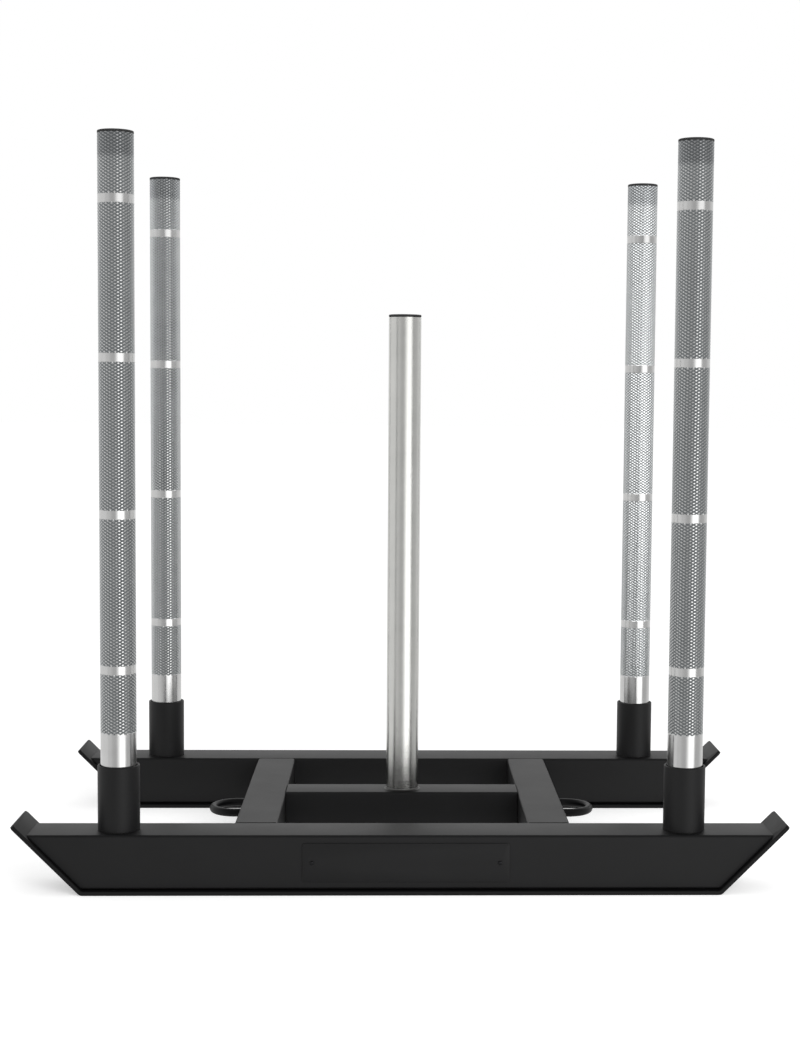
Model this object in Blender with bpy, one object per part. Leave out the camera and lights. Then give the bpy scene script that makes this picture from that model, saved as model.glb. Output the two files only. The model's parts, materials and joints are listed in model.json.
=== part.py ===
"""Weight sled with four lift-out push poles, a plate post and two tow rings.

Metres, +Z up. The runners lie along X and +X is the front of the sled. +Y is its left
side. The origin is on the floor, under the middle of the sled.
"""
import math

import bmesh
import bpy
from mathutils import Matrix

# Clearance between two pieces that rest against each other or are welded together
SEAT_GAP = 0.0003

# Runners: two square tubes whose ends are cut to the slope of the skids
RUNNER_PITCH = 0.535
RUNNER_WIDTH = 0.077
RUNNER_HEIGHT = 0.077
RUNNER_WALL = 0.003
RUNNER_CORNER = 0.004

# Skids: one bent plate under each runner, with both ends turned up past the runner's top
SKID_WIDTH = 0.094
SKID_THICKNESS = 0.006
SKID_CORNER_SPAN = 0.896
SKID_TIP_HEIGHT = 0.0955
SKID_SLOPE = math.radians(45)
SKID_BEND_RADIUS = 0.010
SKID_TIP_RADIUS = 0.006
SKID_EDGE = 0.0006
BEND_CLEARANCE = 0.0001

# Cross members and centre beam: one size of square tube, flush with the runners' top
CROSS_TUBE = 0.0615
CROSS_WALL = 0.003
CROSS_CORNER = 0.004
TUBE_INNER_CORNER = 0.001
CROSS_PITCH = 0.421

# Sockets for the push poles
POLE_PITCH = 0.800
SOCKET_HEIGHT = 0.092
SOCKET_WALL = 0.0032
SOCKET_RIM = 0.0012
SOCKET_CLEARANCE = 0.0012

# Push poles: knurled tubes with plain bands and a plain foot
POLE_DIAMETER = 0.050
POLE_WALL = 0.0025
POLE_LENGTH = 0.9668
KNURL_DEPTH = 0.0008
KNURL_START = 0.1383
BAND_WIDTH = 0.0115
BAND_PITCH = 0.2166
BAND_COUNT = 4
BAND_FIRST = 0.2278

# Plate post on the centre beam, with a weld fillet round its foot
POST_DIAMETER = 0.050
POST_WALL = 0.003
POST_LENGTH = 0.733
POST_FILLET = 0.003
POST_CHAMFER = 0.0008

# End caps: a flange on the tube's end and a skirt inside its bore
CAP_FLANGE = 0.003
CAP_EDGE = 0.001
CAP_SKIRT_DEPTH = 0.018
CAP_SKIRT_WALL = 0.002
CAP_CLEARANCE = 0.0003

# Tow rings: a bar bent to a U, both legs on the outer face of a cross member
RING_BAR = 0.0125
RING_RADIUS = 0.036
RING_LEG = 0.016

# Bare name plate on the right runner's outer face, held by two button screws
NAME_PLATE_LENGTH = 0.290
NAME_PLATE_HEIGHT = 0.055
NAME_PLATE_THICKNESS = 0.0015
NAME_PLATE_CORNER = 0.004
NAME_PLATE_SHIFT = 0.0045
NAME_PLATE_SCREW_INSET = 0.0135
SCREW_SHANK = 0.003
SCREW_LENGTH = 0.006
SCREW_HEAD = 0.0057
SCREW_HEAD_HEIGHT = 0.0016
SCREW_CROWN = 0.0032
SCREW_EDGE = 0.0004
SCREW_HEX = 0.002
SCREW_HEX_DEPTH = 0.001
SCREW_CLEARANCE = 0.0002

# Number of flats on round shapes
ROUND_STEPS = 28
SCREW_STEPS = 16
CORNER_STEPS = 4
BEND_STEPS = 4
FILLET_STEPS = 4
RIM_STEPS = 2
CAP_EDGE_STEPS = 3
RING_STEPS = 20
RING_SIDES_RESOLUTION = 4
SMOOTH_ANGLE = math.radians(32)
EDGE_ANGLE = math.radians(50)
CUTTER_MARGIN = 0.002

# Heights and places that follow from the sizes above
RUNNER_BOTTOM = SKID_THICKNESS + SEAT_GAP
FRAME_TOP = RUNNER_BOTTOM + RUNNER_HEIGHT
CROSS_CENTRE_HEIGHT = FRAME_TOP - CROSS_TUBE / 2
RUNNER_INNER_FACE = (RUNNER_PITCH - RUNNER_WIDTH) / 2
RUNNER_OUTER_FACE = (RUNNER_PITCH + RUNNER_WIDTH) / 2
CROSS_INNER_FACE = (CROSS_PITCH - CROSS_TUBE) / 2
CROSS_OUTER_FACE = (CROSS_PITCH + CROSS_TUBE) / 2
SIDES = {"right": -1, "left": 1}
ENDS = {"front": 1, "rear": -1}


def clear_scene():
    for item in list(bpy.data.objects):
        bpy.data.objects.remove(item, do_unlink=True)


def surface(name, colour, roughness, metallic):
    material = bpy.data.materials.new(name)
    material.use_nodes = True
    shader = material.node_tree.nodes["Principled BSDF"]
    shader.inputs["Base Color"].default_value = (*colour, 1.0)
    shader.inputs["Roughness"].default_value = roughness
    shader.inputs["Metallic"].default_value = metallic
    return material


def powder_coat():
    return surface("black_powder_coat", (0.045, 0.045, 0.047), 0.55, 0.0)


def stainless_steel():
    return surface("brushed_stainless", (0.62, 0.61, 0.59), 0.28, 1.0)


def knurled_steel():
    return surface("knurled_stainless", (0.55, 0.54, 0.52), 0.35, 1.0)


def black_plastic():
    return surface("black_plastic", (0.02, 0.02, 0.02), 0.45, 0.0)


def plate_enamel():
    return surface("dark_name_plate", (0.03, 0.03, 0.032), 0.4, 0.0)


def zinc_plated_steel():
    return surface("dark_screw_steel", (0.12, 0.12, 0.12), 0.35, 1.0)


def finish_mesh(name, bm):
    """Close seams, turn the faces outwards and shade the round parts smooth."""
    bmesh.ops.remove_doubles(bm, verts=bm.verts, dist=1e-6)
    bmesh.ops.recalc_face_normals(bm, faces=bm.faces)
    mesh = bpy.data.meshes.new(name)
    bm.to_mesh(mesh)
    bm.free()
    mesh.shade_smooth()
    mesh.set_sharp_from_angle(angle=SMOOTH_ANGLE)
    return mesh


def place(name, mesh, material, location=(0, 0, 0), rotation=(0, 0, 0), parent=None):
    """Add one named object. An object may share its mesh with its copies."""
    if not mesh.materials:
        mesh.materials.append(material)
    item = bpy.data.objects.new(name, mesh)
    item.location = location
    item.rotation_euler = rotation
    item.parent = parent
    bpy.context.collection.objects.link(item)
    return item


def place_empty(name, location):
    """Add an empty that carries one body and marks the axis it moves on."""
    empty = bpy.data.objects.new(name, None)
    empty.location = location
    bpy.context.collection.objects.link(empty)
    return empty


def rounded_rectangle(width, height, radius, steps):
    """Points of a rounded rectangle round the origin, anticlockwise."""
    points = []
    for corner, (side_u, side_v) in enumerate(((1, 1), (-1, 1), (-1, -1), (1, -1))):
        for step in range(steps + 1):
            angle = (corner + step / steps) * math.pi / 2
            u = side_u * (width / 2 - radius) + radius * math.cos(angle)
            v = side_v * (height / 2 - radius) + radius * math.sin(angle)
            points.append((u, v))
    return points


def closed_loop(bm, points):
    verts = [bm.verts.new(point) for point in points]
    return [bm.edges.new((verts[i - 1], verts[i])) for i in range(len(verts))]


def square_tube_mesh(name, length, width, height, wall, corner, end_lean=0.0):
    """Square tube along X. Its ends lean outwards by end_lean for each metre of height."""
    bm = bmesh.new()
    inner_corner = max(corner - wall, TUBE_INNER_CORNER)
    loops = []
    for inset, radius in ((0.0, corner), (wall, inner_corner)):
        outline = rounded_rectangle(width - 2 * inset, height - 2 * inset, radius, CORNER_STEPS)
        loops += closed_loop(bm, [(length / 2, y, z) for y, z in outline])
    end_face = bmesh.ops.bridge_loops(bm, edges=loops)["faces"]
    grown = bmesh.ops.extrude_face_region(bm, geom=end_face, use_keep_orig=True)
    for item in grown["geom"]:
        if isinstance(item, bmesh.types.BMVert):
            item.co.x = -length / 2
    for vert in bm.verts:
        vert.co.x += math.copysign(1.0, vert.co.x) * end_lean * vert.co.z
    return finish_mesh(name, bm)


def turned_mesh(name, profile, closed, steps=ROUND_STEPS):
    """Turn a profile of (radius, height) points round Z."""
    bm = bmesh.new()
    verts = [bm.verts.new((radius, 0.0, height)) for radius, height in profile]
    first = 0 if closed else 1
    edges = [bm.edges.new((verts[i - 1], verts[i])) for i in range(first, len(verts))]
    bmesh.ops.spin(
        bm, geom=verts + edges, cent=(0, 0, 0), axis=(0, 0, 1), angle=math.tau, steps=steps, use_merge=True
    )
    return finish_mesh(name, bm)


def arc(centre, radius, start, end, steps):
    """Points of an arc in the profile plane. Angles are in degrees."""
    points = []
    for step in range(steps + 1):
        angle = math.radians(start + (end - start) * step / steps)
        points.append((centre[0] + radius * math.cos(angle), centre[1] + radius * math.sin(angle)))
    return points


def skid_place(along, inward):
    """Where a point of the flat blank lies once the plate is bent, as (x, z)."""
    side = math.copysign(1.0, along)
    flat = SKID_CORNER_SPAN / 2 - SKID_BEND_RADIUS * math.tan(SKID_SLOPE / 2)
    past_flat = abs(along) - flat
    if past_flat <= 0:
        return along, inward
    radius = SKID_BEND_RADIUS - inward
    turn = min(past_flat / SKID_BEND_RADIUS, SKID_SLOPE)
    straight = past_flat - turn * SKID_BEND_RADIUS
    x = flat + radius * math.sin(turn) + straight * math.cos(turn)
    z = SKID_BEND_RADIUS - radius * math.cos(turn) + straight * math.sin(turn)
    return side * x, z


def skid_mesh():
    """Skid plate: a flat blank with round corners, cut at its bend lines, then bent."""
    bend_setback = SKID_BEND_RADIUS * math.tan(SKID_SLOPE / 2)
    flat = SKID_CORNER_SPAN / 2 - bend_setback
    bend_length = SKID_BEND_RADIUS * SKID_SLOPE
    tip_length = SKID_TIP_HEIGHT / math.sin(SKID_SLOPE) - bend_setback
    blank_length = 2 * (flat + bend_length + tip_length)
    bm = bmesh.new()
    outline = rounded_rectangle(blank_length, SKID_WIDTH, SKID_TIP_RADIUS, CORNER_STEPS)
    bm.faces.new([bm.verts.new((x, y, 0.0)) for x, y in outline])
    for side in (1, -1):
        for step in range(BEND_STEPS + 1):
            cut = side * (flat + bend_length * step / BEND_STEPS)
            everything = bm.verts[:] + bm.edges[:] + bm.faces[:]
            bmesh.ops.bisect_plane(bm, geom=everything, plane_co=(cut, 0, 0), plane_no=(1, 0, 0))
    grown = bmesh.ops.extrude_face_region(bm, geom=bm.faces[:], use_keep_orig=True)
    for item in grown["geom"]:
        if isinstance(item, bmesh.types.BMVert):
            item.co.z = SKID_THICKNESS
    for vert in bm.verts:
        vert.co.x, vert.co.z = skid_place(vert.co.x, vert.co.z)
    return finish_mesh("skid", bm)


def runner_bottom_reach():
    """Half length of the runner's underside: up to the skid's slope, but clear of its bend."""
    slope_offset = (SKID_THICKNESS + SEAT_GAP) / math.sin(SKID_SLOPE)
    slope_reach = SKID_CORNER_SPAN / 2 + RUNNER_BOTTOM / math.tan(SKID_SLOPE) - slope_offset
    inner_bend = SKID_BEND_RADIUS - SKID_THICKNESS
    flat = SKID_CORNER_SPAN / 2 - SKID_BEND_RADIUS * math.tan(SKID_SLOPE / 2)
    bend_room = (inner_bend - BEND_CLEARANCE) ** 2 - (inner_bend - SEAT_GAP) ** 2
    return min(slope_reach, flat + math.sqrt(bend_room))


def runner_mesh():
    """Square tube whose ends slant along the skid's upturned ends."""
    lean = 1 / math.tan(SKID_SLOPE)
    half_length = runner_bottom_reach() + lean * RUNNER_HEIGHT / 2
    return square_tube_mesh(
        "runner", 2 * half_length, RUNNER_WIDTH, RUNNER_HEIGHT, RUNNER_WALL, RUNNER_CORNER, lean
    )


def socket_mesh():
    bore = POLE_DIAMETER / 2 + SOCKET_CLEARANCE
    outside = bore + SOCKET_WALL
    rim = SOCKET_RIM
    profile = [(outside, 0.0)]
    profile += arc((outside - rim, SOCKET_HEIGHT - rim), rim, 0, 90, RIM_STEPS)
    profile += arc((bore + rim, SOCKET_HEIGHT - rim), rim, 90, 180, RIM_STEPS)
    profile.append((bore, 0.0))
    return turned_mesh("socket", profile, closed=True)


def pole_mesh():
    """Pole tube. The knurled stretches lie half the knurl's depth under the plain bands."""
    plain = POLE_DIAMETER / 2
    knurled = plain - KNURL_DEPTH / 2
    bore = plain - POLE_WALL
    profile = [(bore, 0.0), (plain, 0.0), (plain, KNURL_START), (knurled, KNURL_START)]
    for band in range(BAND_COUNT):
        low = BAND_FIRST + band * BAND_PITCH - BAND_WIDTH / 2
        high = low + BAND_WIDTH
        profile += [(knurled, low), (plain, low), (plain, high), (knurled, high)]
    profile += [(knurled, POLE_LENGTH), (bore, POLE_LENGTH)]
    return turned_mesh("pole", profile, closed=True)


def post_mesh():
    """Plate post: a tube with a weld fillet at the foot and a chamfer at the top."""
    outside = POST_DIAMETER / 2
    bore = outside - POST_WALL
    profile = [(bore, 0.0)]
    profile += arc((outside + POST_FILLET, POST_FILLET), POST_FILLET, 270, 180, FILLET_STEPS)
    profile.append((outside, POST_LENGTH - POST_CHAMFER))
    profile.append((outside - POST_CHAMFER, POST_LENGTH))
    profile.append((bore, POST_LENGTH))
    return turned_mesh("post", profile, closed=True)


def cap_mesh(name, tube_diameter, tube_wall):
    """End cap whose flange sits on the tube's end, with its underside at height zero."""
    flange = tube_diameter / 2
    skirt = flange - tube_wall - CAP_CLEARANCE
    inside = skirt - CAP_SKIRT_WALL
    profile = [(0.0, CAP_FLANGE)]
    profile += arc((flange - CAP_EDGE, CAP_FLANGE - CAP_EDGE), CAP_EDGE, 90, 0, CAP_EDGE_STEPS)
    profile += [(flange, 0.0), (skirt, 0.0), (skirt, -CAP_SKIRT_DEPTH)]
    profile += [(inside, -CAP_SKIRT_DEPTH), (inside, 0.0), (0.0, 0.0)]
    return turned_mesh(name, profile, closed=False)


def tow_ring_curve():
    """Centre line of the tow ring, from one leg's end round the bend to the other."""
    line = [(0.0, -RING_RADIUS)]
    for step in range(RING_STEPS + 1):
        angle = math.pi * (step / RING_STEPS - 0.5)
        line.append((RING_LEG + RING_RADIUS * math.cos(angle), RING_RADIUS * math.sin(angle)))
    line.append((0.0, RING_RADIUS))
    curve = bpy.data.curves.new("tow_ring", "CURVE")
    curve.dimensions = "3D"
    curve.bevel_depth = RING_BAR / 2
    curve.bevel_resolution = RING_SIDES_RESOLUTION
    curve.use_fill_caps = True
    spline = curve.splines.new("POLY")
    spline.points.add(len(line) - 1)
    for point, (x, y) in zip(spline.points, line):
        point.co = (x, y, 0.0, 1.0)
    return curve


def name_plate_mesh():
    bm = bmesh.new()
    outline = rounded_rectangle(NAME_PLATE_LENGTH, NAME_PLATE_HEIGHT, NAME_PLATE_CORNER, CORNER_STEPS)
    back = bm.faces.new([bm.verts.new((x, 0.0, z)) for x, z in outline])
    grown = bmesh.ops.extrude_face_region(bm, geom=[back], use_keep_orig=True)
    for item in grown["geom"]:
        if isinstance(item, bmesh.types.BMVert):
            item.co.y = -NAME_PLATE_THICKNESS
    return finish_mesh("name_plate", bm)


def screw_mesh():
    """Button screw along Y. The head's underside is at zero and the head points to -Y."""
    head = SCREW_HEAD / 2
    crown = SCREW_CROWN / 2
    shank = SCREW_SHANK / 2
    profile = [(0.0, SCREW_HEAD_HEIGHT)]
    for angle in (90, 45, 0):
        turn = math.radians(angle)
        height = SCREW_EDGE + (SCREW_HEAD_HEIGHT - SCREW_EDGE) * math.sin(turn)
        profile.append((crown + (head - crown) * math.cos(turn), height))
    profile += [(head, 0.0), (shank, 0.0), (shank, -SCREW_LENGTH), (0.0, -SCREW_LENGTH)]
    mesh = turned_mesh("screw", profile, closed=False, steps=SCREW_STEPS)
    mesh.transform(Matrix.Rotation(math.pi / 2, 4, "X"))
    return mesh


def prism_mesh(name, radius, depth, sides):
    """Straight prism along Y, centred on the origin, for cutting holes and recesses."""
    bm = bmesh.new()
    bmesh.ops.create_cone(
        bm, cap_ends=True, segments=sides, radius1=radius, radius2=radius, depth=depth,
        matrix=Matrix.Rotation(math.pi / 2, 4, "X"),
    )
    return finish_mesh(name, bm)


def place_cutter(name, mesh, location):
    cutter = bpy.data.objects.new(name, mesh)
    cutter.location = location
    cutter.hide_render = True
    cutter.display_type = "WIRE"
    bpy.context.collection.objects.link(cutter)
    return cutter


def cut(item, cutter):
    boolean = item.modifiers.new("cut", "BOOLEAN")
    boolean.operation = "DIFFERENCE"
    boolean.solver = "EXACT"
    boolean.object = cutter


def round_edges(item, width):
    bevel = item.modifiers.new("round_edges", "BEVEL")
    bevel.width = width
    bevel.segments = 1
    bevel.limit_method = "ANGLE"
    bevel.angle_limit = EDGE_ANGLE


def build_runners(material):
    mesh = runner_mesh()
    height = RUNNER_BOTTOM + RUNNER_HEIGHT / 2
    return {
        side: place(side + "_runner", mesh, material, (0, sign * RUNNER_PITCH / 2, height))
        for side, sign in SIDES.items()
    }


def build_skids(material):
    mesh = skid_mesh()
    for side, sign in SIDES.items():
        skid = place(side + "_skid", mesh, material, (0, sign * RUNNER_PITCH / 2, 0))
        round_edges(skid, SKID_EDGE)


def build_cross_frame(material):
    span = 2 * (RUNNER_INNER_FACE - SEAT_GAP)
    member = square_tube_mesh("cross_member", span, CROSS_TUBE, CROSS_TUBE, CROSS_WALL, CROSS_CORNER)
    for end, sign in ENDS.items():
        where = (sign * CROSS_PITCH / 2, 0, CROSS_CENTRE_HEIGHT)
        place(end + "_cross_member", member, material, where, (0, 0, math.pi / 2))
    beam_length = 2 * (CROSS_INNER_FACE - SEAT_GAP)
    beam = square_tube_mesh("beam", beam_length, CROSS_TUBE, CROSS_TUBE, CROSS_WALL, CROSS_CORNER)
    place("centre_beam", beam, material, (0, 0, CROSS_CENTRE_HEIGHT))


def build_plate_post(steel, plastic):
    foot = FRAME_TOP + SEAT_GAP
    place("plate_post", post_mesh(), steel, (0, 0, foot))
    cap = cap_mesh("post_cap", POST_DIAMETER, POST_WALL)
    place("plate_post_cap", cap, plastic, (0, 0, foot + POST_LENGTH + SEAT_GAP))


def build_push_poles(coat, steel, plastic):
    socket = socket_mesh()
    pole = pole_mesh()
    cap = cap_mesh("pole_cap", POLE_DIAMETER, POLE_WALL)
    for end, end_sign in ENDS.items():
        for side, side_sign in SIDES.items():
            corner = end + "_" + side
            x = end_sign * POLE_PITCH / 2
            y = side_sign * RUNNER_PITCH / 2
            foot = FRAME_TOP + SEAT_GAP
            place(corner + "_socket", socket, coat, (x, y, foot))
            axis = place_empty(corner + "_pole_axis", (x, y, foot))
            place(corner + "_pole", pole, steel, parent=axis)
            place(corner + "_pole_cap", cap, plastic, (0, 0, POLE_LENGTH + SEAT_GAP), parent=axis)


def build_tow_rings(material):
    curve = tow_ring_curve()
    curve.materials.append(material)
    for end, sign in ENDS.items():
        ring = bpy.data.objects.new(end + "_tow_ring", curve)
        ring.location = (sign * (CROSS_OUTER_FACE + SEAT_GAP), 0, CROSS_CENTRE_HEIGHT)
        ring.rotation_euler = (0, 0, 0 if sign > 0 else math.pi)
        bpy.context.collection.objects.link(ring)


def build_name_plate(runner, enamel, screw_steel):
    """Name plate, its two screws, and the holes that the screws pass through."""
    back = -RUNNER_OUTER_FACE - SEAT_GAP
    front = back - NAME_PLATE_THICKNESS - SEAT_GAP
    height = RUNNER_BOTTOM + RUNNER_HEIGHT / 2
    plate = place("name_plate", name_plate_mesh(), enamel, (NAME_PLATE_SHIFT, back, height))
    screw = screw_mesh()
    hex_prism = prism_mesh("hex", SCREW_HEX / math.sqrt(3), 2 * SCREW_HEX_DEPTH, 6)
    hole_depth = 2 * (RUNNER_WALL + NAME_PLATE_THICKNESS + CUTTER_MARGIN)
    hole = prism_mesh("hole", SCREW_SHANK / 2 + SCREW_CLEARANCE, hole_depth, SCREW_STEPS)
    for end, sign in ENDS.items():
        x = NAME_PLATE_SHIFT + sign * (NAME_PLATE_LENGTH / 2 - NAME_PLATE_SCREW_INSET)
        hole_cutter = place_cutter(end + "_screw_hole", hole, (x, back, height))
        cut(plate, hole_cutter)
        cut(runner, hole_cutter)
        item = place(end + "_plate_screw", screw, screw_steel, (x, front, height))
        crown = (x, front - SCREW_HEAD_HEIGHT, height)
        cut(item, place_cutter(end + "_hex_recess", hex_prism, crown))


def main():
    clear_scene()
    coat = powder_coat()
    plastic = black_plastic()
    stainless = stainless_steel()
    runners = build_runners(coat)
    build_skids(coat)
    build_cross_frame(coat)
    build_plate_post(stainless, plastic)
    build_push_poles(coat, knurled_steel(), plastic)
    build_tow_rings(coat)
    build_name_plate(runners["right"], plate_enamel(), zinc_plated_steel())


main()
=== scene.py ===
"""Weight sled, dressed round its packed frame: tubes, skids, sockets, knurled push poles,
plate post, tow rings and a bare name plate, with their finishes, floor, lamps and camera.

Metres, +Z up. +X is the front of the sled and +Y is its left side.
"""
import json
import math

import bmesh
import bpy
from mathutils import Matrix, Vector

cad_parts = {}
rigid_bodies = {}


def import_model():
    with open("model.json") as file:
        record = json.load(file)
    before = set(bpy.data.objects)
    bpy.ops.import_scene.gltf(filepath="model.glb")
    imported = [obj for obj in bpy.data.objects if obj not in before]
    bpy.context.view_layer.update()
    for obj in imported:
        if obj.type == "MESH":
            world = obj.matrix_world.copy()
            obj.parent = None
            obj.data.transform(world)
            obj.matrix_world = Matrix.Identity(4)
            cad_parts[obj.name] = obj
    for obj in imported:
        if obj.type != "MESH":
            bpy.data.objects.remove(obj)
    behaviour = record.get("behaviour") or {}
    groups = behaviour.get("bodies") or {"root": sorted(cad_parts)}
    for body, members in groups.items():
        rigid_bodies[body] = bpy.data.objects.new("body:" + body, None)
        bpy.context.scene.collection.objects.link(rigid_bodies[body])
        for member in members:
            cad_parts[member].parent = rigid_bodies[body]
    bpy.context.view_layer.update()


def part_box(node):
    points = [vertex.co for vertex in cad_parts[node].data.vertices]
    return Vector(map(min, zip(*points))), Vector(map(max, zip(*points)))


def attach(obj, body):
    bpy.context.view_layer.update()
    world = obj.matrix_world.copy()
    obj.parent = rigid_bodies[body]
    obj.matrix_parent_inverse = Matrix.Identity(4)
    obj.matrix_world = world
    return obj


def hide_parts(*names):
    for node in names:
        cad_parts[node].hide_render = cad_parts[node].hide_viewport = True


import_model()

bl_info = {
    "name": "Weight Sled",
    "version": (1, 0, 0),
    "blender": (4, 5, 0),
    "location": "View3D > Sidebar > Sled",
    "description": "Builds the visible weight sled round its packed frame",
    "category": "Add Mesh",
}

SIDES = ("right", "left")
ENDS = ("front", "rear")
CORNERS = [f"{end}_{side}" for end in ENDS for side in SIDES]
ROOT = "sled_frame"
# Edges sharper than this stay crisp, and a flat blank's rim is sharper than this.
SHARP_ANGLE = math.radians(25)
RIM_ANGLE = math.radians(60)
# Faces across a rounded rim.
RIM_STEPS = 6
# How far in the middle of a rounded edge lies, as a share of its radius.
EDGE_MIDDLE = 0.3
# Points closer than this are one.
SAME_POINT = 1e-6
# Turn that lays a piece's upper side towards the sled's right side.
FACE_RIGHT = Matrix.Rotation(math.pi / 2, 4, "X")


def node_size(node):
    low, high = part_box(node)
    return high - low


def node_centre(node):
    low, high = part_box(node)
    return (low + high) / 2


def node_foot(node):
    """Middle of the underside of a node's box."""
    centre = node_centre(node)
    return Vector((centre.x, centre.y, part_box(node)[0].z))


def setting(kind, **limits):
    """Maker of one kind of setting, which takes its name, description and default."""
    def make(name, description, default):
        return kind(name=name, description=description, default=default, **limits)
    return make


length = setting(bpy.props.FloatProperty, precision=5, unit="LENGTH", subtype="DISTANCE")
angle = setting(bpy.props.FloatProperty, precision=4, unit="ROTATION", subtype="ANGLE")
share = setting(bpy.props.FloatProperty, min=0.0, max=1.0, subtype="FACTOR")
level = setting(bpy.props.FloatProperty, min=0.0)
shift = setting(bpy.props.FloatProperty)
whole = setting(bpy.props.IntProperty, min=1)
colour = setting(bpy.props.FloatVectorProperty, size=3, min=0.0, max=1.0, subtype="COLOR")
spot = setting(bpy.props.FloatVectorProperty, size=3, unit="LENGTH", subtype="TRANSLATION")


class SledTubeSettings(bpy.types.PropertyGroup):
    """Square tubes of the runners and the cross frame."""

    wall: length("Wall", "Wall of the square tubes", 0.003)
    corner: length("Corner", "Outer corner radius of the square tubes", 0.004)
    mouth: length("Mouth Edge", "Rounding of a tube's cut ends", 0.0004)
    corner_steps: whole("Corner Steps", "Faces across one rounded corner", 8)
    runner_slope: angle("Runner Slope", "Slope of the runners' cut ends", math.radians(45))


class SledSkidSettings(bpy.types.PropertyGroup):
    """Bent skid plates under the runners."""

    thickness: length("Thickness", "Plate thickness", 0.006)
    corner_span: length("Corner Span", "Distance between the sharp corners of the two bends", 0.896)
    tip_height: length("Tip Height", "Height of the underside at the tips", 0.0955)
    slope: angle("Slope", "Slope of the upturned ends", math.radians(45))
    bend_radius: length("Bend Radius", "Outer radius of the two bends", 0.010)
    tip_radius: length("Tip Radius", "Radius of the tips' corners", 0.006)
    edge: length("Edge", "Rounding of the plate's rim", 0.001)
    edge_steps: whole("Edge Steps", "Faces across the rim's rounding", 3)
    bend_steps: whole("Bend Steps", "Faces round one bend", 8)


class SledSocketSettings(bpy.types.PropertyGroup):
    """Round sockets that hold the push poles."""

    wall: length("Wall", "Wall of the sockets", 0.0032)
    rim: length("Rim", "Rounding of the sockets' mouths", 0.0014)
    steps: whole("Steps", "Faces round a socket", 96)


class SledPoleSettings(bpy.types.PropertyGroup):
    """Knurled push poles."""

    wall: length("Wall", "Wall of the pole tube", 0.0025)
    knurl_depth: length("Knurl Depth", "Depth of the grooves between the diamonds", 0.0008)
    crest_size: share("Crest Size", "Size of a flat crest as a share of its diamond", 0.42)
    knurl_start: length("Knurl Start", "Height of the first knurl above the foot", 0.1383)
    first_band: length("First Band", "Height of the lowest plain band's middle", 0.2278)
    band_pitch: length("Band Pitch", "Distance from one plain band to the next", 0.2166)
    band_width: length("Band Width", "Height of a plain band", 0.0115)
    columns: whole("Columns", "Diamonds in one row round the pole", 19)
    band_rows: whole("Band Rows", "Quarter rows of diamonds in one band pitch", 188)


class SledPostSettings(bpy.types.PropertyGroup):
    """Plate post on the centre beam."""

    wall: length("Wall", "Wall of the post tube", 0.003)
    fillet: length("Weld Fillet", "Radius of the weld round the foot", 0.003)
    chamfer: length("Chamfer", "Chamfer under the cap", 0.0008)
    steps: whole("Steps", "Faces round the post and the caps", 128)
    fillet_steps: whole("Fillet Steps", "Faces across the weld", 10)


class SledCapSettings(bpy.types.PropertyGroup):
    """Plastic caps in the upper ends of the poles and the post."""

    flange: length("Flange", "Height of the visible flange", 0.003)
    edge: length("Edge", "Rounding of the flange's upper edge", 0.001)
    lower_edge: length("Lower Edge", "Chamfer of the flange's lower edge", 0.0002)
    skirt_wall: length("Skirt Wall", "Wall of the skirt inside the tube", 0.002)
    clearance: length("Clearance", "Gap between the skirt and the tube", 0.0003)


class SledRingSettings(bpy.types.PropertyGroup):
    """Tow rings at the front and the rear."""

    bend_steps: whole("Bend Steps", "Faces along the round part of a ring", 64)
    sides: whole("Sides", "Faces round the bar", 32)


class SledPlateSettings(bpy.types.PropertyGroup):
    """Bare name plate and its two button screws."""

    corner: length("Corner", "Corner radius of the name plate", 0.004)
    corner_steps: whole("Corner Steps", "Faces across one rounded corner", 8)
    edge: length("Edge", "Rounding of the plate's face edge", 0.0003)
    hole: length("Hole", "Diameter of the screw holes", 0.0034)
    steps: whole("Steps", "Faces round a screw and its hole", 24)
    crown: length("Screw Crown", "Diameter of the flat on a screw's head", 0.0032)
    shank: length("Screw Shank", "Diameter of a screw's shank", 0.003)
    head_height: length("Head Height", "Height of a screw's head", 0.0016)
    head_edge: length("Head Edge", "Height of the straight edge of a screw's head", 0.0004)
    key_width: length("Key Width", "Width across the flats of the hexagon recess", 0.002)
    key_depth: length("Key Depth", "Depth of the hexagon recess", 0.001)


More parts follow.
